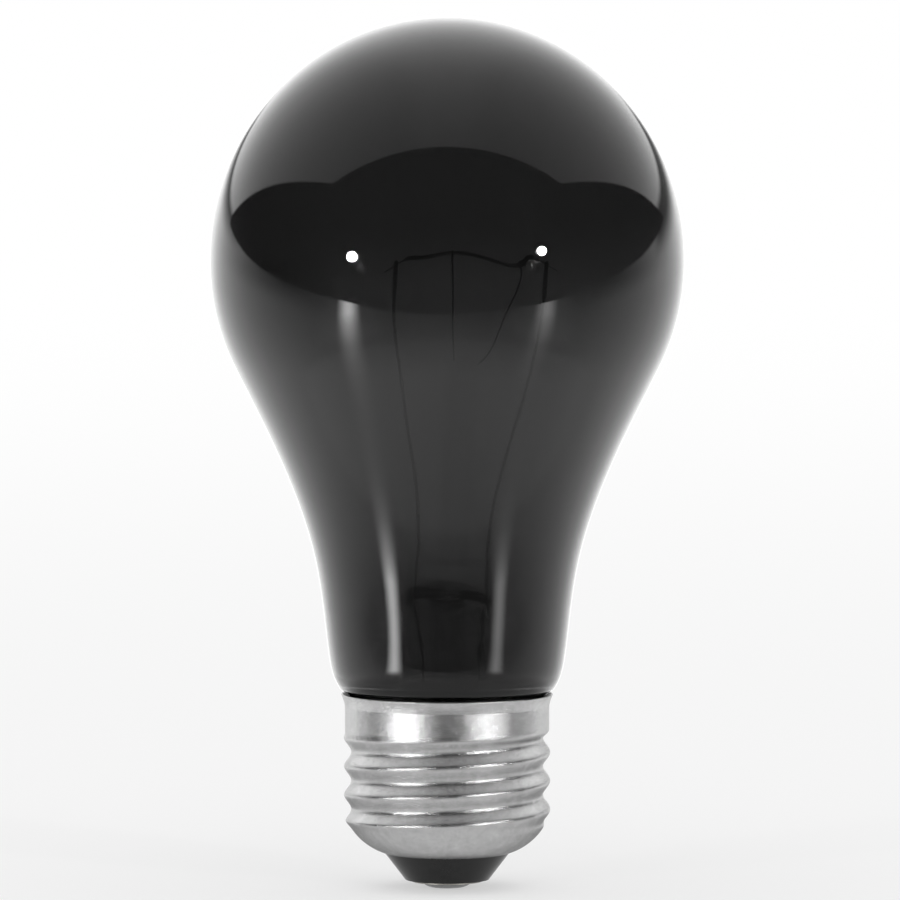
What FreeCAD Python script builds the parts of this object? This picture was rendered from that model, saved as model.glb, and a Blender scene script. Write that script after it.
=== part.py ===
import FreeCAD, Part
import math
import os

V = FreeCAD.Vector

# Millimetres. The lamp stands on its axis, +Z up from the tip of the centre contact to the crown.
# The front is -Y and +X is to the right of the front.

# Envelope. The waist goes by shares of the way from the skirt out to the globe, and from the rim up.
# The shoulder stands out past the skirt and above the rim.
globe_r = 30.07
globe_z = 79.53
crown_h = 30.75
cone_slope = 26.7
glass_wall = 0.7
waist_shares = [(0.543, 0.586), (0.352, 0.447), (0.218, 0.309), (0.149, 0.171)]
shoulder_out = [1.95, 1.59, 0.69]
shoulder_up = [4.56, 2.76, 0.76]
shoulder_slope = 33.0
shoulder_turn = 72.0
shoulder_bend = 0.75
neck_depth = 3.64

# Screw shell
cap_r = 13.1
thread_depth = 0.93
thread_pitch = 3.629
thread_phase_z = 9.95
thread_bottom_z = 7.5
top_run_out = 1.05
low_run_out = 1.4
sheet = 0.3
skirt_in = 0.13
skirt_z = 20.1
flare_h = 1.6
rim_flare = 0.45
rim_z = 24.64
base_in = 0.95
base_edge_z = 4.42
cement_gap = 0.51

# Insulator and centre contact
insulator_end_z = 1.0
insulator_dish = 1.1
contact_h = 0.4
plate_sink = 0.15
eyelet_r = 1.3
eyelet_bore_r = 0.9
eyelet_lip = 0.3
contact_flat_r = 1.5
solder_plug = 1.6

# Stem
tube_r = 5.75
tube_wall = 0.8
flare_rim = 1.0
lean = 3.6
lean_z = 31.0
press_w = 10.9
press_t = 3.7
press_z = 37.8
press_top_z = 42.0
stem_void_z = 35.6
port_r = 0.9
exhaust_r = 2.3
exhaust_bore_r = 1.4
exhaust_top_z = 36.2
exhaust_tip_z = 9.0
exhaust_tip_t = 1.3
arbor_r = 1.75
arbor_seat = 1.0
button_z = 65.6
button_w = 3.9
button_h = 3.4

# Wires. The routes are (right, up) for the leads, and (right, back, up) for the coil.
# A support's way goes by shares from the button to its hook: across, and then up.
lead_span = 8.7
lead_r = 0.225
dumet_r = 0.2
outer_lead_r = 0.2
weld_z = 40.2
dumet_end_z = 36.6
clamp_w = 0.58
clamp_t = 0.42
clamp_len = 4.5
left_route = [(-3.6, 45.0), (-3.75, 49.4), (-5.0, 58.4), (-5.95, 65.6), (-6.75, 73.2), (-6.42, 79.5)]
right_route = [(5.4, 45.9), (9.7, 62.3), (11.2, 68.2), (12.25, 74.6), (12.62, 79.4)]
coil_route = [
    (-5.7, 0, 79.33),
    (-3.2, 2.6, 79.75),
    (0.7, 4.6, 80.35),
    (5.4, 5.0, 79.55),
    (9.5, 3.3, 78.95),
    (11.9, 0, 79.35),
]
left_tail = (-8.0, 0, 77.95)
right_tail = (14.0, 0, 78.1)
centre_hook = coil_route[2]
right_hook = coil_route[4]
support_r = 0.12
centre_way = [(0.6, 0.25), (0.7, 0.5)]
right_way = [(0.25, 0.1), (0.52, 0.35), (0.75, 0.61)]
eye_gap = 0.03
coil_r = 0.32
coil_wire_r = 0.075
coil_pitch = 0.38
side_solder_w = 3.4
side_solder_t = 1.9
side_solder_h = 2.3

# Sizes that follow
skirt_r = cap_r - skirt_in
rim_r = skirt_r + rim_flare
flare_z = rim_z - flare_h
thread_bottom_r = cap_r - base_in
base_edge_r = cap_r * 0.607
insulator_end_r = cap_r * 0.408
plate_r = cap_r * 0.344
solder_r = cap_r * 0.252
neck_r = skirt_r - sheet - cement_gap
neck_inner_r = neck_r - glass_wall
neck_end_z = rim_z - neck_depth
bore_r = tube_r - tube_wall


def at(point):
    return V(point[0], 0, point[1])


def line(a, b):
    return Part.makeLine(at(a), at(b))


def arc(a, b, c):
    return Part.Arc(at(a), at(b), at(c)).toShape()


def solid_of(edges):
    """Solid of revolution about the lamp axis, from a closed outline in the XZ plane."""
    return Part.Face(Part.Wire(edges)).revolve(V(0, 0, 0), V(0, 0, 1), 360)


def closed_solid(faces):
    """One closed solid from faces that meet along their edges."""
    skin = Part.makeCompound(faces)
    skin.sewShape()
    solid = Part.Solid(skin.Shells[0])
    if solid.Volume < 0:
        solid.reverse()
    return solid


def cylinder(r, a, b):
    return Part.makeCylinder(r, (b - a).Length, a, b - a)


def ball(size, centre):
    """Ellipsoid with three half sizes."""
    stretch = FreeCAD.Matrix()
    stretch.scale(size[0], size[1], size[2])
    shape = Part.makeSphere(1).transformGeometry(stretch)
    shape.translate(centre)
    return shape


def round_poles(r, sides):
    """Radius of the poles whose periodic cubic passes through the radius r."""
    return r * 3 / (2 + math.cos(2 * math.pi / sides))


def closed_faces(rows, longest=100):
    """Cubic surface through rows of poles, closed round each row, as faces of some spans each."""
    sides = len(rows[0])
    spans = len(rows) - 3
    surface = Part.BSplineSurface()
    surface.buildFromPolesMultsKnots(
        rows,
        [4] + [1] * (spans - 1) + [4],
        [1] * (sides + 1),
        list(range(spans + 1)),
        list(range(sides + 1)),
        False,
        True,
        3,
        3,
    )
    count = math.ceil(spans / longest)
    if count == 1:
        return [surface.toShape()]
    cuts = [spans * i // count for i in range(count + 1)]
    faces = []
    for a, b in zip(cuts, cuts[1:]):
        stretch = surface.copy()
        stretch.segment(a, b, 0, sides)
        faces.append(stretch.toShape())
    return faces


def wire_solid(centres, r, sides=8):
    """Round wire along a row of centres, flat at both ends."""
    last = len(centres) - 1
    side = V(0, 1, 0)
    rows = []
    for i, centre in enumerate(centres):
        along = centres[min(i + 1, last)] - centres[max(i - 1, 0)]
        along.normalize()
        side = side - along * side.dot(along)
        side.normalize()
        up = along.cross(side)
        row = []
        for k in range(sides):
            turn = 2 * math.pi * k / sides
            row.append(centre + (side * math.cos(turn) + up * math.sin(turn)) * round_poles(r, sides))
        rows.append(row)
    faces = closed_faces(rows)
    ends = []
    for edge in [e for f in faces for e in f.Edges if e.isClosed()]:
        if min((edge.CenterOfMass - c).Length for c in (centres[0], centres[-1])) < r:
            ends.append(Part.Face(Part.Wire([edge])))
    return closed_solid(faces + ends)


def even_points(curve, spacing):
    """Evenly spaced points along a curve."""
    edge = curve.toShape()
    return edge.discretize(Number=max(8, int(edge.Length / spacing)))


def path(points, spacing):
    """Evenly spaced points along a smooth curve through the given ones."""
    curve = Part.BSplineCurve()
    curve.interpolate(points)
    return even_points(curve, spacing)


def leaned(x, z, y=0):
    """Point of the mount, given upright, after the mount's lean to the right."""
    c = math.cos(math.radians(lean))
    s = math.sin(math.radians(lean))
    above = z - lean_z
    return V(x * c + above * s, y, lean_z - x * s + above * c)


def bend(start, slope, end_slope, r, turn):
    """Arc of the outline that starts on a slope and turns by steps to the end slope."""
    a = math.radians(slope)
    c = math.radians(end_slope)
    points = []
    for t in ((a + c) / 2, c):
        x = start[0] + turn * r * (math.cos(t) - math.cos(a))
        points.append((x, start[1] - turn * r * (math.sin(t) - math.sin(a))))
    return arc(start, points[0], points[1]), points[1]


def downhill(slope):
    """Direction down the outline where it leans in by the slope."""
    return V(-math.sin(math.radians(slope)), 0, -math.cos(math.radians(slope)))


def crown(wall):
    """Quarter of an ellipse from the top of the glass down to the widest part of the globe."""
    k = math.sqrt(0.5)
    stretch = FreeCAD.Matrix()
    stretch.scale(globe_r - wall, 1, crown_h - wall)
    quarter = arc((0, 1), (k, k), (1, 0)).transformGeometry(stretch)
    quarter.translate(V(0, 0, globe_z))
    return quarter


def globe_point(wall, slope):
    r = globe_r - wall
    return (r * math.cos(math.radians(slope)), globe_z - r * math.sin(math.radians(slope)))


def lower_outline():
    """Outside of the glass from the globe down over the waist to the shoulder."""
    width = globe_r - skirt_r
    height = globe_z - rim_z
    waist = [(skirt_r + a * width, rim_z + b * height) for a, b in waist_shares]
    shoulder = [(skirt_r + a, rim_z + b) for a, b in zip(shoulder_out, shoulder_up)]
    points = [at(p) for p in [globe_point(0, cone_slope)] + waist + shoulder]
    start = downhill(cone_slope)
    curve = Part.BSplineCurve()
    curve.interpolate(Points=points, InitialTangent=start, FinalTangent=downhill(shoulder_slope))
    return curve, points


def inner_outline():
    """Inside of the glass over the same stretch, one wall inside the outer line."""
    outer, points = lower_outline()
    inside = []
    slopes = []
    for point in points[:-1]:
        along = outer.tangent(outer.parameter(point))[0]
        slopes.append(along)
        inside.append(point + V(along.z, 0, -along.x) * glass_wall)
    curve = Part.BSplineCurve()
    curve.interpolate(Points=inside, InitialTangent=slopes[0], FinalTangent=slopes[-1])
    return curve, inside[-1]


def neck_outline():
    """Outside of the glass below the shoulder, turned in over the rim and then down inside the cap."""
    start = (skirt_r + shoulder_out[-1], rim_z + shoulder_up[-1])
    turn_in, middle = bend(start, shoulder_slope, shoulder_turn, shoulder_bend, 1)
    neck_bend = (middle[0] - neck_r) / (1 - math.cos(math.radians(shoulder_turn)))
    turn_down, end = bend(middle, shoulder_turn, 0, neck_bend, -1)
    return [turn_in, turn_down], end


def make_envelope():
    outer, _ = lower_outline()
    inner, last = inner_outline()
    neck, neck_start = neck_outline()
    inner_end = (last.x, last.z)
    corner = (neck_inner_r, neck_start[1] + 2 * glass_wall)
    bow = (inner_end[0] - glass_wall, corner[1] + (inner_end[1] - corner[1]) * 0.45)
    round_z = neck_end_z + glass_wall / 2
    top = globe_z + crown_h
    edges = [crown(0), crown(glass_wall)]
    for wall in (0, glass_wall):
        points = [globe_point(wall, t) for t in (0, cone_slope / 2, cone_slope)]
        edges.append(arc(points[0], points[1], points[2]))
    edges += [outer.toShape(), inner.toShape()] + neck
    edges.append(line(neck_start, (neck_r, round_z)))
    edges.append(arc((neck_r, round_z), (neck_r - glass_wall / 2, neck_end_z), (neck_inner_r, round_z)))
    edges.append(line((neck_inner_r, round_z), corner))
    edges.append(arc(corner, bow, inner_end))
    edges.append(line((0, top - glass_wall), (0, top)))
    return solid_of(Part.__sortEdges__(edges))


def blend(t):
    t = min(1, max(0, t))
    return t * t * (3 - 2 * t)


def thread_radius(turn, z, inwards):
    """Radius of the threaded sheet: a ridge that fades out into the skirt and into the sloping base."""
    share = min(1, (z - thread_bottom_z) / low_run_out)
    top = blend((skirt_z - z) / top_run_out)
    middle = cap_r - thread_depth / 2
    phase = 2 * math.pi * (z - thread_phase_z) / thread_pitch - turn
    ridge = math.cos(phase) + 0.03 * (math.cos(2 * phase) - 1)
    level = middle + (skirt_r - middle) * (1 - top) + (thread_bottom_r - middle) * (1 - share) ** 2
    return level + thread_depth / 2 * ridge * top * blend(share) - inwards


def thread_face(inwards):
    sides = 96
    steps = 56
    rows = []
    for j in range(steps + 1):
        z = thread_bottom_z + (skirt_z - thread_bottom_z) * j / steps
        row = []
        for k in range(sides):
            turn = 2 * math.pi * (k - 1) / sides
            r = round_poles(thread_radius(turn, z, inwards), sides)
            row.append(V(r * math.cos(turn), r * math.sin(turn), z))
        rows.append(row)
    return closed_faces(rows)


def base_arc(wall):
    """Turned-in base of the shell, from the thread down to its edge."""
    a = (thread_bottom_r - wall, thread_bottom_z)
    b = (cap_r * 0.823 - wall * 0.72, (thread_bottom_z + base_edge_z) / 2 + wall * 0.69)
    c = (base_edge_r - wall * 0.45, base_edge_z + wall * 0.89)
    return arc(a, b, c), c


def make_screw_shell():
    lip = sheet / 2
    inner_skirt = skirt_r - sheet
    inner_rim = rim_r - sheet
    bow = (skirt_r + rim_flare * 0.42, flare_z + flare_h * 0.52)
    top = [
        line((skirt_r, skirt_z), (skirt_r, flare_z)),
        arc((skirt_r, flare_z), bow, (rim_r, rim_z - lip)),
        arc((rim_r, rim_z - lip), (rim_r - lip, rim_z), (inner_rim, rim_z - lip)),
        arc((inner_rim, rim_z - lip), (bow[0] - sheet, bow[1]), (inner_skirt, flare_z)),
        line((inner_skirt, flare_z), (inner_skirt, skirt_z)),
    ]
    outer_base, outer_edge = base_arc(0)
    inner_base, inner_edge = base_arc(sheet)
    base = [outer_base, line(outer_edge, inner_edge), inner_base]
    faces = [e.revolve(V(0, 0, 0), V(0, 0, 1), 360) for e in top + base]
    return closed_solid(faces + thread_face(0) + thread_face(sheet))


def make_insulator():
    inner_base, inner_edge = base_arc(sheet)
    outer_edge = (base_edge_r, base_edge_z)
    wall_top = (thread_bottom_r - sheet, thread_bottom_z)
    dish_z = thread_bottom_z - insulator_dish
    recess_z = insulator_end_z + plate_sink
    edges = [
        line((insulator_end_r, insulator_end_z), outer_edge),
        line(outer_edge, inner_edge),
        inner_base,
        arc(wall_top, (wall_top[0] * 0.6, dish_z + insulator_dish * 0.16), (eyelet_r, dish_z)),
        line((eyelet_r, dish_z), (eyelet_r, recess_z)),
        line((eyelet_r, recess_z), (plate_r, recess_z)),
        line((plate_r, recess_z), (plate_r, insulator_end_z)),
        line((plate_r, insulator_end_z), (insulator_end_r, insulator_end_z)),
    ]
    return solid_of(edges)


def make_contact_plate():
    """Brass disc with a hollow eyelet that passes up through the insulator."""
    top = insulator_end_z + plate_sink
    low = top - contact_h
    lip_z = thread_bottom_z - insulator_dish + eyelet_lip
    points = [
        (eyelet_bore_r, low),
        (plate_r, low),
        (plate_r, top),
        (eyelet_r, top),
        (eyelet_r, lip_z),
        (eyelet_bore_r, lip_z),
    ]
    return solid_of([line(a, b) for a, b in zip(points, points[1:] + points[:1])])


def make_contact_solder():
    plate_low = insulator_end_z + plate_sink - contact_h
    plug_z = plate_low + solder_plug
    bow = (contact_flat_r + (solder_r - contact_flat_r) * 0.68, plate_low * 0.35)
    edges = [
        line((0, 0), (contact_flat_r, 0)),
        arc((contact_flat_r, 0), bow, (solder_r, plate_low)),
        line((solder_r, plate_low), (eyelet_bore_r, plate_low)),
        line((eyelet_bore_r, plate_low), (eyelet_bore_r, plug_z)),
        line((eyelet_bore_r, plug_z), (0, plug_z)),
        line((0, plug_z), (0, 0)),
    ]
    return solid_of(edges)


def flare_curve():
    """Quarter bend of the flare, from the straight tube out to its rim at the neck."""
    rim_top = neck_end_z + flare_rim
    width = neck_inner_r - tube_r
    k = math.sqrt(0.5)
    start = (tube_r, rim_top + width)
    middle = (neck_inner_r - width * k, rim_top + width * (1 - k))
    end = (neck_inner_r, rim_top)
    return arc(start, middle, end), start, end


def section(z, half_w, half_t, power):
    """Closed outline of the stem at one height, from round to a rounded oblong."""
    points = []
    for k in range(32):
        turn = 2 * math.pi * k / 32
        c = math.cos(turn)
        s = math.sin(turn)
        x = math.copysign(abs(c) ** (2 / power), c) * half_w
        y = math.copysign(abs(s) ** (2 / power), s) * half_t
        points.append(leaned(x, z, y))
    curve = Part.BSplineCurve()
    curve.interpolate(Points=points, PeriodicFlag=True)
    return Part.Wire([curve.toShape()])


def stem_blank():
    """Flare and tube as one full solid, from the neck up to where the stem starts to lean."""
    outer_bend, outer_start, outer_end = flare_curve()
    low_z = neck_end_z + glass_wall / 2
    outer = [
        line((0, low_z), (neck_inner_r, low_z)),
        line((neck_inner_r, low_z), outer_end),
        outer_bend,
        line(outer_start, (tube_r, lean_z)),
        line((tube_r, lean_z), (0, lean_z)),
        line((0, lean_z), (0, low_z)),
    ]
    return solid_of(outer)


def press_blank():
    """Tube pinched from round to the flat press, with its top edge rounded."""
    half_w = press_w / 2
    half_t = press_t / 2
    return Part.makeLoft([
        section(lean_z, tube_r, tube_r, 2),
        section(lean_z + tube_r * 0.35, tube_r, tube_r * 0.98, 2),
        section(stem_void_z, tube_r * 0.986, (tube_r + half_t) * 0.493, 2.3),
        section(press_z, half_w, half_t * 1.08, 3),
        section(press_top_z - half_t * 0.27, half_w, half_t, 3),
        section(press_top_z, half_w - half_t * 0.16, half_t * 0.84, 3),
    ], True)


def stem_hollow():
    """Hollow of the stem: wide at the flare's mouth, and closed by the press."""
    low_z = neck_end_z + glass_wall / 2
    mouth_r = neck_inner_r - flare_rim * 1.1
    reach = mouth_r - bore_r
    bow = (bore_r + reach * 0.3, low_z + reach * 0.39)
    low = solid_of([
        line((0, low_z), (mouth_r, low_z)),
        arc((mouth_r, low_z), bow, (bore_r, low_z + reach * 1.1)),
        line((bore_r, low_z + reach * 1.1), (bore_r, lean_z)),
        line((bore_r, lean_z), (0, lean_z)),
        line((0, lean_z), (0, low_z)),
    ])
    high = Part.makeLoft([
        section(lean_z, bore_r, bore_r, 2),
        section(lean_z + tube_r * 0.35, bore_r, bore_r * 0.97, 2),
        section(stem_void_z, bore_r * 0.98, (exhaust_r + bore_r) * 0.359, 2.3),
    ], True)
    return [low, high]


def make_stem_flare(arbor, wires, exhaust):
    """Flare, tube and press in one piece, with a port in its back from the exhaust tube to the bulb."""
    port_z = exhaust_top_z + port_r * 0.83
    x = leaned(0, port_z).x
    port = cylinder(port_r, V(x, 0, port_z), V(x, tube_r, port_z))
    riser = cylinder(port_r, V(0, 0, exhaust_top_z - port_r), V(0, 0, port_z + port_r * 0.33))
    stem = stem_blank().fuse(press_blank())
    for tool in stem_hollow() + [port, riser, arbor, exhaust] + wires:
        stem = stem.cut(tool)
    return stem


def make_exhaust_tube():
    """Tube that is melted shut at its lower end."""
    tip_z = exhaust_tip_z
    floor = tip_z + exhaust_tip_t
    r = exhaust_r
    bore = exhaust_bore_r
    k = math.sqrt(0.5)
    edges = [
        line((bore, exhaust_top_z), (r, exhaust_top_z)),
        line((r, exhaust_top_z), (r, tip_z + r)),
        arc((r, tip_z + r), (r * k, tip_z + r * (1 - k)), (0, tip_z)),
        line((0, tip_z), (0, floor)),
        arc((0, floor), (bore * k, floor + bore * (1 - k)), (bore, floor + bore)),
        line((bore, floor + bore), (bore, exhaust_top_z)),
    ]
    return solid_of(edges)


def make_arbor_rod():
    """Glass rod out of the press, melted into a button at its top."""
    low = press_top_z - arbor_seat
    rod = cylinder(arbor_r, V(0, 0, low), V(0, 0, button_z))
    button = ball((button_w / 2, button_w / 2, button_h / 2), V(0, 0, button_z))
    shape = rod.fuse(button)
    shape.rotate(V(0, 0, lean_z), V(0, 1, 0), lean)
    return shape


def press_wire(x, low, high, r):
    return cylinder(r, leaned(x, low), leaned(x, high))


def oval(centre, along, half_w, half_t):
    """Oval outline across a wire that runs up the XZ plane."""
    across = V(along.z, 0, -along.x)
    ring = Part.Ellipse(centre + across * half_w, centre + V(0, 1, 0) * half_t, centre)
    return Part.Wire([ring.toShape()])


def make_inner_lead(side, points, tail):
    """Nickel wire from the press, pressed flat round the end of the coil at its top."""
    rise = press_top_z - weld_z
    foot = [leaned(side * lead_span / 2, weld_z + rise * d) for d in (0, 0.55, 1.1, 1.65)]
    tip = points[-1]
    along = tip - points[-2]
    along.normalize()
    neck = tip - along * clamp_len
    centres = foot[:3] + path(foot[3:] + points[:-1] + [neck], lead_r * 5)
    wire = wire_solid(centres, lead_r)
    half_w = clamp_w / 2
    half_t = clamp_t / 2
    flat = Part.makeLoft([
        oval(neck - along * half_w * 0.8, along, lead_r * 1.01, lead_r * 0.99),
        oval(neck + along * half_w * 1.4, along, half_w, half_t),
        oval(tip - along * half_w * 0.7, along, half_w, half_t),
        oval(tip, along, half_w * 0.6, half_t * 0.6),
    ], True, True)
    return wire.fuse(flat).cut(tail)


def coil_ends():
    """The straight tail at each end of the coil, as (coil end, outer end)."""
    return (V(*coil_route[0]), V(*left_tail)), (V(*coil_route[-1]), V(*right_tail))


def coil_axis():
    """Curve that the coil is wound about, in line with both tails."""
    (first, first_end), (last, last_end) = coil_ends()
    curve = Part.BSplineCurve()
    points = [V(*p) for p in coil_route]
    start = (first - first_end).normalize()
    end = (last_end - last).normalize()
    curve.interpolate(Points=points, InitialTangent=start, FinalTangent=end)
    return curve


def make_support(side, hook, way):
    """Hook wire from one side of the button, with an eye round the coil at its top."""
    target = V(*hook)
    axis = coil_axis()
    coil_along = axis.tangent(axis.parameter(target))[0]
    coil_along.normalize()
    start = leaned(0, button_z) + V(side * button_w * 0.3, button_w * 0.15, button_h * 0.12)
    eye_r = coil_r + support_r + eye_gap
    out = coil_along.cross(V(0, 0, 1))
    out.normalize()
    up = out.cross(coil_along)
    turns = 12
    eye = []
    for k in range(turns + 1):
        turn = math.radians(-80 + 25 * k)
        shift = coil_along * (support_r * 2.5 * (k / turns - 0.5))
        eye.append(target + shift + (up * math.sin(turn) + out * math.cos(turn)) * eye_r)
    reach = eye[0] - start
    knees = [start + V(reach.x * a, reach.y * b, reach.z * b) for a, b in way]
    below = eye[0] + out * eye_r * 0.1 - up * eye_r * 1.2
    stem = path([start] + knees + [below, eye[0]], eye_r)
    return wire_solid(stem[:-1] + eye, support_r)


def make_filament():
    """Coiled wire with a straight tail at each end."""
    (first, first_end), (last, last_end) = coil_ends()
    per_turn = 12
    centres = even_points(coil_axis(), coil_pitch / per_turn)
    radius = (coil_r - coil_wire_r) * 3 / (2 + math.cos(2 * math.pi / per_turn))
    ramp = 2 * per_turn
    side = V(0, 1, 0)
    end = len(centres) - 1
    coil = []
    for i, centre in enumerate(centres):
        along = centres[min(i + 1, end)] - centres[max(i - 1, 0)]
        along.normalize()
        side = side - along * side.dot(along)
        side.normalize()
        up = along.cross(side)
        turn = 2 * math.pi * i / per_turn
        r = radius * blend(i / ramp) * blend((end - i) / ramp)
        coil.append(centre + (side * math.cos(turn) + up * math.sin(turn)) * r)
    head = [first_end + (first - first_end) * t for t in (0, 0.25, 0.5, 0.75)]
    foot = [last + (last_end - last) * t for t in (0.25, 0.5, 0.75, 1)]
    return wire_solid(head + coil + foot, coil_wire_r, 10)


def outer_lead_head(side):
    """Straight end of an outer lead, up in the press, and the point where it is free."""
    steps = (0, 0.6, 1.2, 2.0)
    depth = dumet_end_z - stem_void_z
    return [leaned(side * lead_span / 2, dumet_end_z - depth * d) for d in steps]


def make_outer_lead_left():
    """Wire down the flare tube, out under the neck and up beside it to the rim."""
    gap_r = (neck_r + skirt_r - sheet) / 2
    under_z = neck_end_z - outer_lead_r * 7
    head = outer_lead_head(-1)
    beside = -(exhaust_r + bore_r) * 0.455
    bends = [
        V(beside, exhaust_r * 0.2, lean_z),
        V(beside * 0.9, exhaust_r * 1.13, neck_end_z + flare_rim * 3),
        V(beside * 0.7, gap_r * 0.53, neck_end_z - outer_lead_r * 3),
        V(beside * 0.27, gap_r * 0.855, under_z),
        V(0, gap_r, neck_end_z - outer_lead_r / 2),
    ]
    seat = rim_z - outer_lead_r * 1.45
    length = seat - neck_end_z
    rise = [V(0, gap_r, neck_end_z + length * t) for t in (0.06, 0.39, 0.72)]
    rise.append(V(0, gap_r + rim_flare * 0.23, neck_end_z + length * 0.9))
    rise.append(V(0, gap_r + rim_flare * 0.54, seat))
    return wire_solid(head[:3] + path(head[3:] + bends, outer_lead_r * 4) + rise, outer_lead_r)


def make_outer_lead_right():
    """Wire down the flare tube and through the eyelet into the contact solder."""
    head = outer_lead_head(1)
    inside_z = thread_bottom_z - insulator_dish
    beside = exhaust_r * 1.13
    bends = [
        V(bore_r * 0.86, 0, lean_z),
        V(bore_r * 0.81, 0, neck_end_z + flare_rim * 3),
        V(beside + outer_lead_r * 5, 0, (neck_end_z + exhaust_tip_z) / 2),
        V(beside, 0, exhaust_tip_z * 1.11),
        V(eyelet_bore_r * 0.55, 0, inside_z + eyelet_bore_r),
        V(0, 0, inside_z - eyelet_bore_r),
    ]
    down = [V(0, 0, inside_z * t) for t in (0.7, 0.47, 0.31, 0.14)]
    return wire_solid(head[:3] + path(head[3:] + bends, outer_lead_r * 4) + down, outer_lead_r)


def make_basing_cement(lead):
    low = neck_end_z + glass_wall
    high = flare_z
    points = [(neck_r, low), (skirt_r - sheet, low), (skirt_r - sheet, high), (neck_r, high)]
    return solid_of([line(a, b) for a, b in zip(points, points[1:] + points[:1])]).cut(lead)


def make_side_solder(around):
    half = (side_solder_w / 2, side_solder_t / 2, side_solder_h / 2)
    bead = ball(half, V(0, rim_r + sheet / 6, rim_z - sheet * 1.33))
    for piece in around:
        bead = bead.cut(piece)
    return bead


def export(nodes):
    os.makedirs("parts", exist_ok=True)
    for name, shape in nodes.items():
        solid = shape.Solids[0]
        solid.exportStep("parts/" + name + ".step")


def press_channels():
    """The three bores of each seal in the press: outer lead, seal wire and inner lead."""
    depth = dumet_end_z - stem_void_z
    channels = []
    for x in (-lead_span / 2, lead_span / 2):
        channels.append(press_wire(x, dumet_end_z - depth * 1.5, dumet_end_z, outer_lead_r))
        channels.append(press_wire(x, dumet_end_z, weld_z, dumet_r))
        channels.append(press_wire(x, weld_z, press_top_z + press_t / 4, lead_r))
    return channels


def build():
    half = lead_span / 2
    left_tool, right_tool = [cylinder(coil_wire_r, b, a) for a, b in coil_ends()]
    arbor = make_arbor_rod()
    bore = cylinder(exhaust_r, V(0, 0, exhaust_tip_z), V(0, 0, exhaust_top_z))
    pieces = {}
    pieces["envelope"] = make_envelope()
    pieces["screw_shell"] = make_screw_shell()
    pieces["insulator"] = make_insulator()
    pieces["contact_plate"] = make_contact_plate()
    pieces["stem_flare"] = make_stem_flare(arbor, press_channels(), bore)
    pieces["exhaust_tube"] = make_exhaust_tube()
    pieces["dumet_left"] = press_wire(-half, dumet_end_z, weld_z, dumet_r)
    pieces["dumet_right"] = press_wire(half, dumet_end_z, weld_z, dumet_r)
    pieces["inner_lead_left"] = make_inner_lead(-1, [at(p) for p in left_route], left_tool)
    pieces["inner_lead_right"] = make_inner_lead(1, [at(p) for p in right_route], right_tool)
    pieces["filament"] = make_filament()
    pieces["support_wire_centre"] = make_support(-1, centre_hook, centre_way)
    pieces["support_wire_right"] = make_support(1, right_hook, right_way)
    pieces["arbor_rod"] = arbor.cut(pieces["support_wire_centre"]).cut(pieces["support_wire_right"])
    pieces["outer_lead_left"] = make_outer_lead_left()
    pieces["outer_lead_right"] = make_outer_lead_right()
    pieces["contact_solder"] = make_contact_solder().cut(pieces["outer_lead_right"])
    pieces["basing_cement"] = make_basing_cement(pieces["outer_lead_left"])
    around = [pieces[name] for name in ("screw_shell", "envelope", "outer_lead_left")]
    pieces["side_solder"] = make_side_solder(around)
    export(pieces)


build()
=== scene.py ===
import math

import bpy
import numpy as np
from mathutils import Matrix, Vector


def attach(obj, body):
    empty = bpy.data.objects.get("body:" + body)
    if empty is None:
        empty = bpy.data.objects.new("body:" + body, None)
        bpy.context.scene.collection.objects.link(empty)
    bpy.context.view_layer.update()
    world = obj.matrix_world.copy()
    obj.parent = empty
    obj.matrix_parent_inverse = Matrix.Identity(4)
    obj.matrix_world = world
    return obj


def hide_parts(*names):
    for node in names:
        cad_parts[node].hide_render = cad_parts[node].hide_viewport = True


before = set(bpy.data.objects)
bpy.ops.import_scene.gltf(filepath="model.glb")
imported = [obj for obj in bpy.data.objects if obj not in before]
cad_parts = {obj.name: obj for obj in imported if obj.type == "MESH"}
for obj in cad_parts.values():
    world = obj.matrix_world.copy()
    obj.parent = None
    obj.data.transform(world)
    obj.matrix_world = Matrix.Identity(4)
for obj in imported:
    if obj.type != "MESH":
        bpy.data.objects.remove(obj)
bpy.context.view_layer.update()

MM = 0.001

# Camera: in front of the bulb, a little above its middle, looking down slightly.
VIEW_DISTANCE = 741 * MM
VIEW_HEIGHT = 89.0 * MM
AIM = Vector((0.37 * MM, 0.0, 55.5 * MM))
PIXELS_PER_MM = 7.91
FRAME_PIXELS = 900
SENSOR = 36.0
CLIP_START = 0.01
CLIP_END = 50.0

# Studio, as directions seen from the bulb: slopes of the edges of what the glass mirrors.
CEILING_FRONT = 1.376
CEILING_SIDE = 0.49
CEILING_TILT = 0.327
TABLE_FRONT = 0.399
TABLE_TILT = 0.017
TABLE_FRONT_DROP = 0.057
TABLE_BACK = 0.31
TABLE_BACK_TILT = 0.0125
TABLE_BACK_DROP = 0.093
BACKDROP_SIDE = 0.9325
SHARP_EDGE = (-0.012, 0.012)
SOFT_EDGE = (-0.05, 0.05)

# Dark gap between the table and the backdrop: its slopes, its two sides and where it is seen.
GAP_BACK = 0.208
GAP_TILT_BELOW = 0.015
GAP_TILT_ABOVE = -0.03
GAP_BELOW = (-0.115, -0.005)
GAP_ABOVE = (0.0, 0.047)
GAP_ASIDE = (0.2, 0.32)
GAP_BEHIND = (0.45, 0.6)
GAP_LEVEL = 0.12

# Levels of the ceiling and the backdrop.
CEILING_LEVEL = 0.78
CEILING_RISE = 0.62
BACKDROP_RISE = 0.5
CORNER = (0.1, 0.3)
CORNER_LEVEL = 0.87

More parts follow.
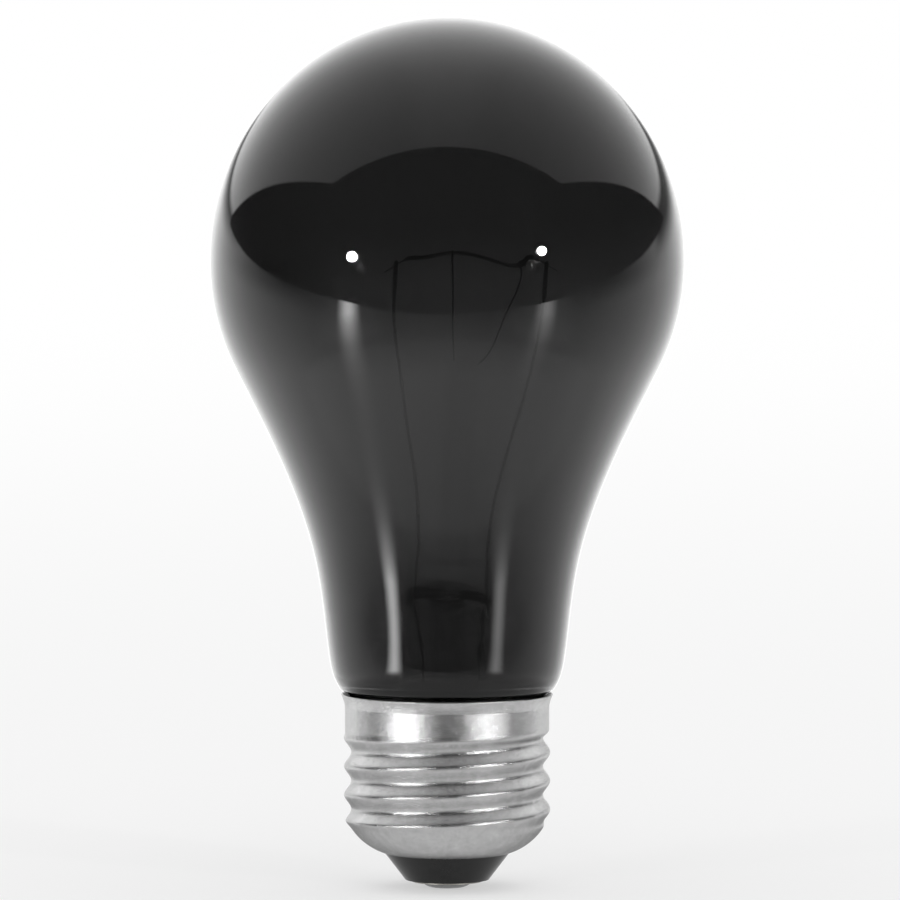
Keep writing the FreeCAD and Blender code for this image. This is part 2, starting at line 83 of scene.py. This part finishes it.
# Levels of the table: along its length, under the bulb and at its far edge.
TABLE_LEVEL = 0.62
TABLE_DEEP = 0.5
TABLE_RISE = 1.05
TABLE_RISE_HIGH = 0.9
TABLE_NEAREST = -0.65
FOOT = (-0.59, -0.64)
FOOT_STEP = 0.06
TABLE_EDGE = (0.0, 0.17)
TABLE_EDGE_LEVEL = 0.36
EDGE_STARTS = (-0.6, -0.1)
EDGE_ENDS = (0.7, 0.85)

# Where the table's levels turn into the backdrop's, and the change of all of them from left to right.
HORIZON = (-0.15, 0.15)
ACROSS = (-0.3, 0.8)
ACROSS_LEVELS = (1.04, 0.92)

# The dim room behind the camera, and the level that lights matte things.
ROOM_HEIGHT = (0.3, -0.3)
ROOM_LEVEL = 0.02
ROOM_LOW = 0.14
ROOM_LEFT = (-1.0, -0.75)
ROOM_LEFT_LEVEL = 0.1
MATTE_LEVEL = 0.9

# Lamps, and painted glints: streaks painted as glow on the floor where the lamps would shine on the table,
# seen only in reflections.
LAMP_DISTANCE = 1.0
LAMP_AIM = Vector((0, 0, 79.5 * MM))
GLINT_HALF_WIDTH = 9 * MM
GLINT_SPREAD = 0.08
GLINT_NEAR = (64 * MM, 86 * MM)
GLINT_FAR = (257 * MM, 266 * MM)
GLINT_SKEW = 0.85
GLINT_FACING = 0.62
GLINT_STEEP = 7.5
HALO_LEVEL = 0.32
HALO_WIDTH = 3.0
HALO_START = (110 * MM, 145 * MM)

# Floor: a dim glow right under the bulb that the glass mirrors in place of the table there, painted shade of
# the bulb's own shadow; and the paper that turns to white far away.
FLOOR_HALF = 6.0
FLOOR_Z = -0.05 * MM
PAINTED_SHADE_REACH = (35 * MM, 75 * MM)
PAINTED_SHADE_LEVEL = 0.58
PAPER = 0.9
WHITE_DISTANCE = 1.1
NEAR_WHITE = 0.45

# Outline of the glass in millimetres and degrees, the same as the solid's.
GLOBE_R = 30.07
GLOBE_Z = 79.53
CROWN_H = 30.75
CONE_SLOPE = 26.7
WALL = 0.7
SKIRT_R = 12.97
RIM_Z = 24.64
WAIST = ((0.543, 0.586), (0.352, 0.447), (0.218, 0.309), (0.149, 0.171))
SHOULDER = ((1.95, 4.56), (1.59, 2.76), (0.69, 0.76))
SHOULDER_SLOPE = 33.0
SHOULDER_TURN = 72.0
SHOULDER_BEND = 0.75
NECK_R = 12.16
NECK_END_Z = 21.0
NECK_BOW = 0.45

# Rows of faces along each stretch of that outline, and faces around it.
CROWN_ROWS = 60
GLOBE_ROWS = 15
WAIST_ROWS = 90
INSIDE_SHORT = 6
TURN_ROWS = 8
END_ROWS = 12
GLASS_SIDES = 192

# Range of a noise that its roughness ramp uses.
NOISE_RANGE = (0.3, 0.7)


class Nodes:
    """Short way to add and join shader nodes."""

    def __init__(self, tree):
        self.tree = tree
        tree.nodes.clear()

    def add(self, kind, **sockets):
        node = self.tree.nodes.new(kind)
        for name, value in sockets.items():
            self.give(node, name.replace("_", " "), value)
        return node

    def give(self, node, name, value):
        if isinstance(value, bpy.types.NodeSocket):
            self.tree.links.new(value, node.inputs[name])
        else:
            node.inputs[name].default_value = value

    def math(self, operation, a, b=None):
        node = self.tree.nodes.new("ShaderNodeMath")
        node.operation = operation
        self.give(node, 0, a)
        if b is not None:
            self.give(node, 1, b)
        return node.outputs[0]

    def ramp(self, value, low, high, to_low=0.0, to_high=1.0):
        node = self.tree.nodes.new("ShaderNodeMapRange")
        node.interpolation_type = "SMOOTHSTEP"
        names = ("Value", "From Min", "From Max", "To Min", "To Max")
        for name, given in zip(names, (value, low, high, to_low, to_high)):
            self.give(node, name, given)
        return node.outputs[0]

    def noise(self, place, scale, detail=3.0, roughness=0.55):
        node = self.add("ShaderNodeTexNoise", Vector=place, Scale=scale, Detail=detail, Roughness=roughness)
        return node.outputs["Fac"]

    def bump(self, height, strength, depth):
        node = self.add("ShaderNodeBump", Height=height, Strength=strength, Distance=depth)
        return node.outputs["Normal"]

    def colour(self, factor, dark, light):
        node = self.tree.nodes.new("ShaderNodeMix")
        node.data_type = "RGBA"
        self.give(node, 0, factor)
        node.inputs[6].default_value = (*dark, 1)
        node.inputs[7].default_value = (*light, 1)
        return node.outputs[2]

    def glow(self, strength):
        return self.add("ShaderNodeEmission", Color=(1, 1, 1, 1), Strength=strength).outputs[0]

    def mix(self, factor, first, second):
        node = self.add("ShaderNodeMixShader", Fac=factor)
        self.give(node, 1, first)
        self.give(node, 2, second)
        return node.outputs[0]


def grey(level):
    return (level, level, level)


def material(name, tone, shades, gloss, rough, grain, relief, **fixed):
    """A material whose tone, gloss and grain each follow a noise, given as its scale, detail and roughness.

    Tone runs between two shades and gloss between two values of rough; relief is the bump's strength and
    depth. Fixed numbers sit on the shader's own sockets.
    """
    made = bpy.data.materials.new(name)
    made.use_nodes = True
    n = Nodes(made.node_tree)
    place = n.add("ShaderNodeTexCoord").outputs["Object"]
    shader = n.add("ShaderNodeBsdfPrincipled", **fixed)
    n.give(shader, "Base Color", n.colour(n.noise(place, *tone), *shades))
    n.give(shader, "Roughness", n.ramp(n.noise(place, *gloss), *NOISE_RANGE, *rough))
    n.give(shader, "Normal", n.bump(n.noise(place, *grain), *relief))
    out = n.add("ShaderNodeOutputMaterial")
    n.give(out, "Surface", shader.outputs[0])
    return made


def filter_glass():
    """Near-black filter glass with a faint waviness from blowing."""
    return material(
        "filter_glass",
        tone=(60.0, 2.0),
        shades=(grey(0.075), grey(0.083)),
        gloss=(300.0,),
        rough=(0.0, 0.012),
        grain=(45.0, 1.0),
        relief=(0.02, 0.2 * MM),
        Transmission_Weight=1.0,
        IOR=1.5,
    )


def stem_glass():
    """Clear glass of the stem, with pressed ripples."""
    return material(
        "stem_glass",
        tone=(200.0,),
        shades=(grey(0.86), grey(0.95)),
        gloss=(900.0,),
        rough=(0.02, 0.09),
        grain=(700.0, 2.0),
        relief=(0.4, 0.25 * MM),
        Transmission_Weight=1.0,
        IOR=1.5,
    )


def cap_aluminium():
    """Satin sheet with the fine grain and faint blotches of handled aluminium."""
    return material(
        "cap_aluminium",
        tone=(700.0, 6.0, 0.7),
        shades=(grey(0.54), grey(0.86)),
        gloss=(700.0, 6.0, 0.7),
        rough=(0.18, 0.27),
        grain=(8500.0, 1.0, 0.6),
        relief=(0.9, 0.05 * MM),
        Metallic=1.0,
        Specular_Tint=(0.45, 0.45, 0.45, 1),
    )


def black_vitrite():
    """Poured black glass, with slight dimples in its gloss."""
    return material(
        "black_vitrite",
        tone=(900.0,),
        shades=(grey(0.008), grey(0.014)),
        gloss=(1500.0,),
        rough=(0.06, 0.16),
        grain=(500.0, 2.0),
        relief=(0.12, 0.2 * MM),
        IOR=1.5,
        Specular_IOR_Level=0.3,
    )


def metal(name, dark, light, rough, grain, strength):
    """A plain metal with uneven tone and roughness and a fine grain."""
    return material(
        name,
        tone=(1100.0,),
        shades=(dark, light),
        gloss=(1800.0,),
        rough=rough,
        grain=(grain,),
        relief=(strength, 0.1 * MM),
        Metallic=1.0,
    )


def basing_cement():
    """Baked cement: matte, pitted and uneven."""
    return material(
        "basing_cement",
        tone=(1500.0,),
        shades=(grey(0.30), grey(0.46)),
        gloss=(2500.0,),
        rough=(0.8, 0.95),
        grain=(3000.0,),
        relief=(0.6, 0.2 * MM),
    )


def turned(start, slopes, radius, side, rows):
    """Arc of the outline that starts at a point and goes from one slope to another."""
    a, b = (math.radians(t) for t in slopes)
    for k in range(1, rows + 1):
        t = a + (b - a) * k / rows
        x = start[0] + side * radius * (math.cos(t) - math.cos(a))
        yield (x, start[1] - side * radius * (math.sin(t) - math.sin(a)))


def smooth_curve(points, slopes, rows):
    """Points and directions of the smooth curve through the given ones, with set slopes at both ends."""
    p = np.array(points)
    h = np.linalg.norm(np.diff(p, axis=0), axis=1)
    last = len(p) - 1
    system = np.eye(last + 1)
    target = np.zeros_like(p)
    for i, slope in ((0, slopes[0]), (last, slopes[1])):
        target[i] = (-math.sin(math.radians(slope)), -math.cos(math.radians(slope)))
    for i in range(1, last):
        system[i, i - 1:i + 2] = (1 / h[i - 1], 2 / h[i - 1] + 2 / h[i], 1 / h[i])
        target[i] = 3 * ((p[i] - p[i - 1]) / h[i - 1] ** 2 + (p[i + 1] - p[i]) / h[i] ** 2)
    m = np.linalg.solve(system, target)
    places = np.cumsum(np.append(0, h))
    for u in np.linspace(0, places[-1], rows + 1):
        i = min(np.searchsorted(places, u, side="right") - 1, last - 1)
        t = (u - places[i]) / h[i]
        bend = p[i + 1] - p[i]
        a = m[i] * h[i] - bend
        b = bend - m[i + 1] * h[i]
        point = p[i] + t * bend + t * (1 - t) * ((1 - t) * a + t * b)
        along = bend + (1 - 2 * t) * ((1 - t) * a + t * b) + t * (1 - t) * (b - a)
        yield point, along / np.linalg.norm(along)


def globe_outline(wall):
    """The crown and the start of the globe's lower half, a wall's thickness inside the outer skin."""
    rows = []
    for k in range(CROWN_ROWS + 1):
        t = math.radians(90 * (1 - k / CROWN_ROWS))
        rows.append(((GLOBE_R - wall) * math.cos(t), GLOBE_Z + (CROWN_H - wall) * math.sin(t)))
    rows.extend(turned((GLOBE_R - wall, GLOBE_Z), (0, CONE_SLOPE), GLOBE_R - wall, 1, GLOBE_ROWS))
    return rows


def neck_outline(start):
    """From the shoulder's end under the cap's rim, and round the neck's open end."""
    rows = list(turned(start, (SHOULDER_SLOPE, SHOULDER_TURN), SHOULDER_BEND, 1, TURN_ROWS))
    reach = (rows[-1][0] - NECK_R) / (1 - math.cos(math.radians(SHOULDER_TURN)))
    rows.extend(turned(rows[-1], (SHOULDER_TURN, 0), reach, -1, TURN_ROWS))
    top = rows[-1][1]
    end = NECK_END_Z + WALL / 2
    for k in range(END_ROWS + 1):
        t = math.radians(180 * k / END_ROWS)
        rows.append((NECK_R - WALL / 2 * (1 - math.cos(t)), end - WALL / 2 * math.sin(t)))
    return rows, top


def glass_outline():
    """Closed outline of the glass from the crown down outside, and up again inside."""
    outside = globe_outline(0)
    inside = globe_outline(WALL)
    knots = [outside[-1]]
    knots += [(SKIRT_R + a * (GLOBE_R - SKIRT_R), RIM_Z + b * (GLOBE_Z - RIM_Z)) for a, b in WAIST]
    knots += [(SKIRT_R + a, RIM_Z + b) for a, b in SHOULDER]
    waist = list(smooth_curve(knots, (CONE_SLOPE, SHOULDER_SLOPE), WAIST_ROWS))
    outside += [tuple(point) for point, _ in waist[1:]]
    inside += [(p[0] + d[1] * WALL, p[1] - d[0] * WALL) for p, d in waist[1:-INSIDE_SHORT]]
    neck, neck_top = neck_outline(outside[-1])
    outside += neck
    low = np.array((NECK_R - WALL, neck_top + 2 * WALL))
    high = np.array(inside[-1])
    bow = np.array((high[0] - WALL, low[1] + (high[1] - low[1]) * NECK_BOW))
    for k in range(1, TURN_ROWS):
        t = 1 - k / TURN_ROWS
        inside.append(tuple(low * (1 - t) * (1 - 2 * t) + bow * 4 * t * (1 - t) + high * t * (2 * t - 1)))
    inside.append(tuple(low))
    return outside + inside[::-1]


def turned_body(name, outline, sides):
    """Closed mesh of an outline that starts and ends on the axis, turned about +Z."""
    points = [(0, 0, outline[0][1] * MM)]
    for r, z in outline[1:-1]:
        for k in range(sides):
            turn = 2 * math.pi * k / sides
            points.append((r * MM * math.cos(turn), r * MM * math.sin(turn), z * MM))
    points.append((0, 0, outline[-1][1] * MM))
    faces = []
    rings = len(outline) - 2
    for k in range(sides):
        n = (k + 1) % sides
        faces.append((0, 1 + k, 1 + n))
        for j in range(rings - 1):
            a = 1 + j * sides
            faces.append((a + k, a + sides + k, a + sides + n, a + n))
        a = 1 + (rings - 1) * sides
        faces.append((a + k, len(points) - 1, a + n))
    mesh = bpy.data.meshes.new(name)
    mesh.from_pydata(points, [], faces)
    mesh.shade_smooth()
    made = bpy.data.objects.new(name, mesh)
    bpy.context.collection.objects.link(made)
    return made


def blown_glass():
    """The envelope again with a finer skin, so that it mirrors without facets."""
    made = turned_body("blown_glass", glass_outline(), GLASS_SIDES)
    made.data.materials.append(filter_glass())
    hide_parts("envelope")
    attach(made, "root")


def dress():
    """Give each node of the frame its material."""
    wire = metal("nickel_wire", grey(0.34), grey(0.46), (0.25, 0.4), 5000.0, 0.2)
    seal = metal("seal_wire", grey(0.26), grey(0.38), (0.3, 0.5), 5000.0, 0.2)
    solder = metal("solder", grey(0.20), grey(0.32), (0.3, 0.5), 1500.0, 0.4)
    brass = metal("contact_brass", (0.36, 0.35, 0.32), (0.48, 0.46, 0.43), (0.3, 0.5), 3000.0, 0.3)
    support = metal("support_wire", grey(0.30), grey(0.42), (0.3, 0.45), 5000.0, 0.2)
    tungsten = metal("tungsten_wire", grey(0.12), grey(0.20), (0.35, 0.5), 6000.0, 0.2)
    glass = stem_glass()
    looks = {
        "screw_shell": cap_aluminium(),
        "insulator": black_vitrite(),
        "contact_plate": brass,
        "contact_solder": solder,
        "side_solder": solder,
        "stem_flare": glass,
        "exhaust_tube": glass,
        "arbor_rod": glass,
        "inner_lead_left": wire,
        "inner_lead_right": wire,
        "dumet_left": seal,
        "dumet_right": seal,
        "outer_lead_left": seal,
        "outer_lead_right": seal,
        "support_wire_centre": support,
        "support_wire_right": support,
        "filament": tungsten,
        "basing_cement": basing_cement(),
    }
    for name, look in looks.items():
        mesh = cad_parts[name].data
        mesh.materials.clear()
        mesh.materials.append(look)


def plane(n, parts, slopes):
    """Sum of the direction's parts, each times its slope."""
    terms = [n.math("MULTIPLY", part, slope) for part, slope in zip(parts, slopes)]
    total = terms[0]
    for term in terms[1:]:
        total = n.math("ADD", total, term)
    return total


def table_back(n, x, y, z):
    """How far a direction lies below the far edge of the table."""
    return n.math("SUBTRACT", plane(n, (y, x, z), (TABLE_BACK, TABLE_BACK_TILT, -1)), TABLE_BACK_DROP)


def bright_walls(n, x, y, z, side):
    """Where a ceiling, a backdrop or the table is seen, from 0 to 1, as against the dim room."""
    over_front = plane(n, (z, y), (1, CEILING_FRONT))
    over_side = plane(n, (z, side, y), (1, -CEILING_SIDE, CEILING_TILT))
    ceiling = n.ramp(n.math("MINIMUM", over_front, over_side), *SHARP_EDGE)
    under_front = n.math("SUBTRACT", plane(n, (y, x, z), (TABLE_FRONT, TABLE_TILT, -1)), TABLE_FRONT_DROP)
    table = n.ramp(n.math("MINIMUM", table_back(n, x, y, z), under_front), *SHARP_EDGE)
    behind = n.ramp(plane(n, (y, side), (1, -BACKDROP_SIDE)), *SOFT_EDGE)
    walls = n.math("MAXIMUM", n.math("MAXIMUM", ceiling, table), behind)
    return n.math("MULTIPLY", walls, dark_gap(n, x, y, z, side))


def dark_gap(n, x, y, z, side):
    """Shade between the table and the backdrop, beside the bulb: soft below and sharper above."""
    below = n.ramp(plane(n, (z, y, x), (1, -GAP_BACK, GAP_TILT_BELOW)), *GAP_BELOW, 1.0, GAP_LEVEL)
    above = n.ramp(plane(n, (z, y, x), (1, -GAP_BACK, GAP_TILT_ABOVE)), *GAP_ABOVE, GAP_LEVEL, 1.0)
    reach = n.math("MULTIPLY", n.ramp(side, *GAP_ASIDE), n.ramp(y, *GAP_BEHIND))
    shade = n.math("SUBTRACT", 1.0, n.math("MAXIMUM", below, above))
    return n.math("SUBTRACT", 1.0, n.math("MULTIPLY", shade, reach))


def high_level(n, x, y, z):
    """Level of the ceiling and the backdrop: brighter to the back, and duller in the upper corners."""
    back = n.math("MAXIMUM", y, 0.0)
    level = n.math("ADD", n.math("MULTIPLY", y, CEILING_RISE), CEILING_LEVEL)
    level = n.math("ADD", level, n.math("MULTIPLY", n.math("MULTIPLY", back, back), BACKDROP_RISE))
    corner = n.math("MULTIPLY", n.math("ABSOLUTE", x), z)
    return n.math("MULTIPLY", level, n.ramp(corner, *CORNER, 1.0, CORNER_LEVEL))


def low_level(n, x, y, z):
    """Level of the table: brighter to the back and under the bulb, and duller at its far edge."""
    rise = n.math("ADD", n.math("MULTIPLY", z, TABLE_RISE_HIGH), TABLE_RISE)
    level = n.math("ADD", n.math("MULTIPLY", z, -TABLE_DEEP), TABLE_LEVEL)
    level = n.math("ADD", level, n.math("MULTIPLY", rise, n.math("MAXIMUM", y, TABLE_NEAREST)))
    level = n.math("ADD", level, n.ramp(z, *FOOT, -FOOT_STEP, FOOT_STEP))
    edge = n.ramp(table_back(n, x, y, z), *TABLE_EDGE, 1.0 - TABLE_EDGE_LEVEL, 0.0)
    reach = n.math("MULTIPLY", n.ramp(y, *EDGE_STARTS), n.ramp(y, *EDGE_ENDS, 1.0, 0.0))
    return n.math("MULTIPLY", level, n.math("SUBTRACT", 1.0, n.math("MULTIPLY", edge, reach)))


def wall_level(n, x, y, z):
    """Level of the walls and the table, joined at the horizon and a little brighter at the left."""
    above = n.ramp(z, *HORIZON)
    high = n.math("MULTIPLY", high_level(n, x, y, z), above)
    low = n.math("MULTIPLY", low_level(n, x, y, z), n.math("SUBTRACT", 1.0, above))
    return n.math("MULTIPLY", n.math("ADD", high, low), n.ramp(x, *ACROSS, *ACROSS_LEVELS))


def studio_world():
    """Pale studio: ceiling, white backdrop and table, and the dim room behind the camera."""
    world = bpy.data.worlds.new("studio")
    bpy.context.scene.world = world
    world.use_nodes = True
    world.cycles.sampling_method = "NONE"
    n = Nodes(world.node_tree)
    direction = n.add("ShaderNodeTexCoord").outputs["Generated"]
    x, y, z = n.add("ShaderNodeSeparateXYZ", Vector=direction).outputs[:3]
    side = n.math("ABSOLUTE", x)
    room = n.ramp(z, *ROOM_HEIGHT, ROOM_LEVEL, ROOM_LEVEL + ROOM_LOW)
    room = n.math("MULTIPLY", room, n.ramp(x, *ROOM_LEFT, ROOM_LEFT_LEVEL, 1.0))
    walls = n.math("MULTIPLY", bright_walls(n, x, y, z, side), wall_level(n, x, y, z))
    level = n.math("MAXIMUM", walls, room)
    rays = n.add("ShaderNodeLightPath").outputs
    matte = n.ramp(rays["Is Diffuse Ray"], 0.0, 1.0, 1.0, MATTE_LEVEL)
    plain = n.math("SUBTRACT", matte, rays["Is Glossy Ray"])
    mirrored = n.math("MULTIPLY", rays["Is Glossy Ray"], level)
    background = n.add("ShaderNodeBackground", Color=(1, 1, 1, 1), Strength=n.math("ADD", mirrored, plain))
    n.give(n.add("ShaderNodeOutputWorld"), "Surface", background.outputs[0])


def lamp(name, azimuth, elevation, half_angles, radiance):
    """Small oval lamp in front of the bulb, aimed at it."""
    a = math.radians(azimuth)
    e = math.radians(elevation)
    away = Vector((math.sin(a) * math.cos(e), -math.cos(a) * math.cos(e), math.sin(e)))
    data = bpy.data.lights.new(name, "AREA")
    data.shape = "ELLIPSE"
    across, up = (LAMP_DISTANCE * math.tan(math.radians(half)) for half in half_angles)
    data.size = 2 * across
    data.size_y = 2 * up
    area = math.pi * across * up
    data.energy = radiance * math.pi * area
    made = bpy.data.objects.new(name, data)
    made.location = LAMP_AIM + away * LAMP_DISTANCE
    made.rotation_mode = "QUATERNION"
    made.rotation_quaternion = (-away).to_track_quat("-Z", "Y")
    bpy.context.collection.objects.link(made)


def painted_glint(n, place, sign, azimuth, offset, strength):
    """Painted glint: a long bright streak painted as glow on the floor where a lamp would shine on the
    table, seen only along low directions.
    """
    x, y = n.add("ShaderNodeSeparateXYZ", Vector=place).outputs[:2]
    turn = math.radians(azimuth)
    along = plane(n, (x, y), (sign * math.sin(turn), -math.cos(turn)))
    across = n.math("SUBTRACT", plane(n, (x, y), (sign * math.cos(turn), math.sin(turn))), offset)
    width = n.math("ADD", n.math("MULTIPLY", along, GLINT_SPREAD), GLINT_HALF_WIDTH)
    aside = n.math("DIVIDE", n.math("ABSOLUTE", across), width)
    band = n.ramp(aside, 0.0, 1.0, strength, 0.0)
    halo = n.math("MULTIPLY", n.ramp(aside, 0.0, HALO_WIDTH, HALO_LEVEL, 0.0), n.ramp(along, *HALO_START))
    edge = plane(n, (along, across), (1, -GLINT_SKEW))
    reach = n.math("MULTIPLY", n.ramp(along, *GLINT_NEAR), n.ramp(edge, *GLINT_FAR, 1.0, 0.0))
    facing = n.add("ShaderNodeLayerWeight", Blend=0.5).outputs["Facing"]
    steep = n.math("MINIMUM", n.math("SUBTRACT", facing, GLINT_FACING), 0.0)
    low = n.math("EXPONENT", n.math("MULTIPLY", steep, GLINT_STEEP))
    return n.math("MULTIPLY", n.math("ADD", n.math("MULTIPLY", band, low), halo), reach)


def floor_look():
    """Paper that turns to white far away and keeps the shadow near the bulb; what the bulb mirrors in it is
    painted: glints, and a dim glow of painted shade under the bulb.
    """
    look = bpy.data.materials.new("floor")
    look.use_nodes = True
    look.cycles.emission_sampling = "NONE"
    n = Nodes(look.node_tree)
    rays = n.add("ShaderNodeLightPath").outputs
    place = n.add("ShaderNodeTexCoord").outputs["Object"]
    away = n.add("ShaderNodeVectorMath")
    away.operation = "LENGTH"
    n.give(away, 0, place)
    distance = away.outputs["Value"]
    paper = n.add("ShaderNodeBsdfDiffuse", Color=(*grey(PAPER), 1)).outputs[0]
    decline = n.math("EXPONENT", n.math("MULTIPLY", distance, -1 / WHITE_DISTANCE))
    seen = n.math("MAXIMUM", rays["Is Camera Ray"], rays["Is Transmission Ray"])
    far = n.math("MULTIPLY", n.ramp(decline, 0.0, 1.0, 1.0, NEAR_WHITE), seen)
    plain = n.mix(far, paper, n.glow(1.0))
    # Painted glints: streaks of glow on the floor that only reflections see.
    left = painted_glint(n, place, sign=-1, azimuth=45.5, offset=8 * MM, strength=7.6)
    right = painted_glint(n, place, sign=1, azimuth=49.0, offset=-4.5 * MM, strength=2.5)
    painted_glint_glow = n.add("ShaderNodeAddShader")
    n.give(painted_glint_glow, 0, n.add("ShaderNodeBsdfTransparent").outputs[0])
    n.give(painted_glint_glow, 1, n.glow(n.math("ADD", left, right)))
    # Painted shade: a fixed dim glow right under the bulb that only reflections see, for the bulb's own
    # shadow on the table.
    painted_shade_mask = n.ramp(distance, *PAINTED_SHADE_REACH, 1.0, 0.0)
    mirrored = n.mix(painted_shade_mask, painted_glint_glow.outputs[0], n.glow(PAINTED_SHADE_LEVEL))
    out = n.add("ShaderNodeOutputMaterial")
    n.give(out, "Surface", n.mix(rays["Is Glossy Ray"], plain, mirrored))
    return look


def floor():
    """Pale floor under the tip of the bulb."""
    corners = [(-1, -1), (1, -1), (1, 1), (-1, 1)]
    mesh = bpy.data.meshes.new("floor")
    mesh.from_pydata([(x * FLOOR_HALF, y * FLOOR_HALF, 0) for x, y in corners], [], [(0, 1, 2, 3)])
    mesh.materials.append(floor_look())
    made = bpy.data.objects.new("floor", mesh)
    made.location.z = FLOOR_Z
    bpy.context.collection.objects.link(made)


def camera():
    """Camera in front, with the lens that gives the photo's scale."""
    data = bpy.data.cameras.new("camera")
    data.sensor_width = SENSOR
    data.lens = PIXELS_PER_MM * (VIEW_DISTANCE / MM) / FRAME_PIXELS * SENSOR
    data.clip_start = CLIP_START
    data.clip_end = CLIP_END
    made = bpy.data.objects.new("camera", data)
    made.location = (AIM.x, -VIEW_DISTANCE, VIEW_HEIGHT)
    made.rotation_mode = "QUATERNION"
    made.rotation_quaternion = (AIM - made.location).to_track_quat("-Z", "Y")
    bpy.context.collection.objects.link(made)
    bpy.context.scene.camera = made


dress()
blown_glass()
studio_world()
lamp("lamp_left", azimuth=-45.5, elevation=1.75, half_angles=(2.8, 2.3), radiance=105.0)
lamp("lamp_right", azimuth=45.5, elevation=4.2, half_angles=(2.4, 1.95), radiance=155.0)
floor()
camera()
bpy.context.scene.view_settings.view_transform = "Standard"
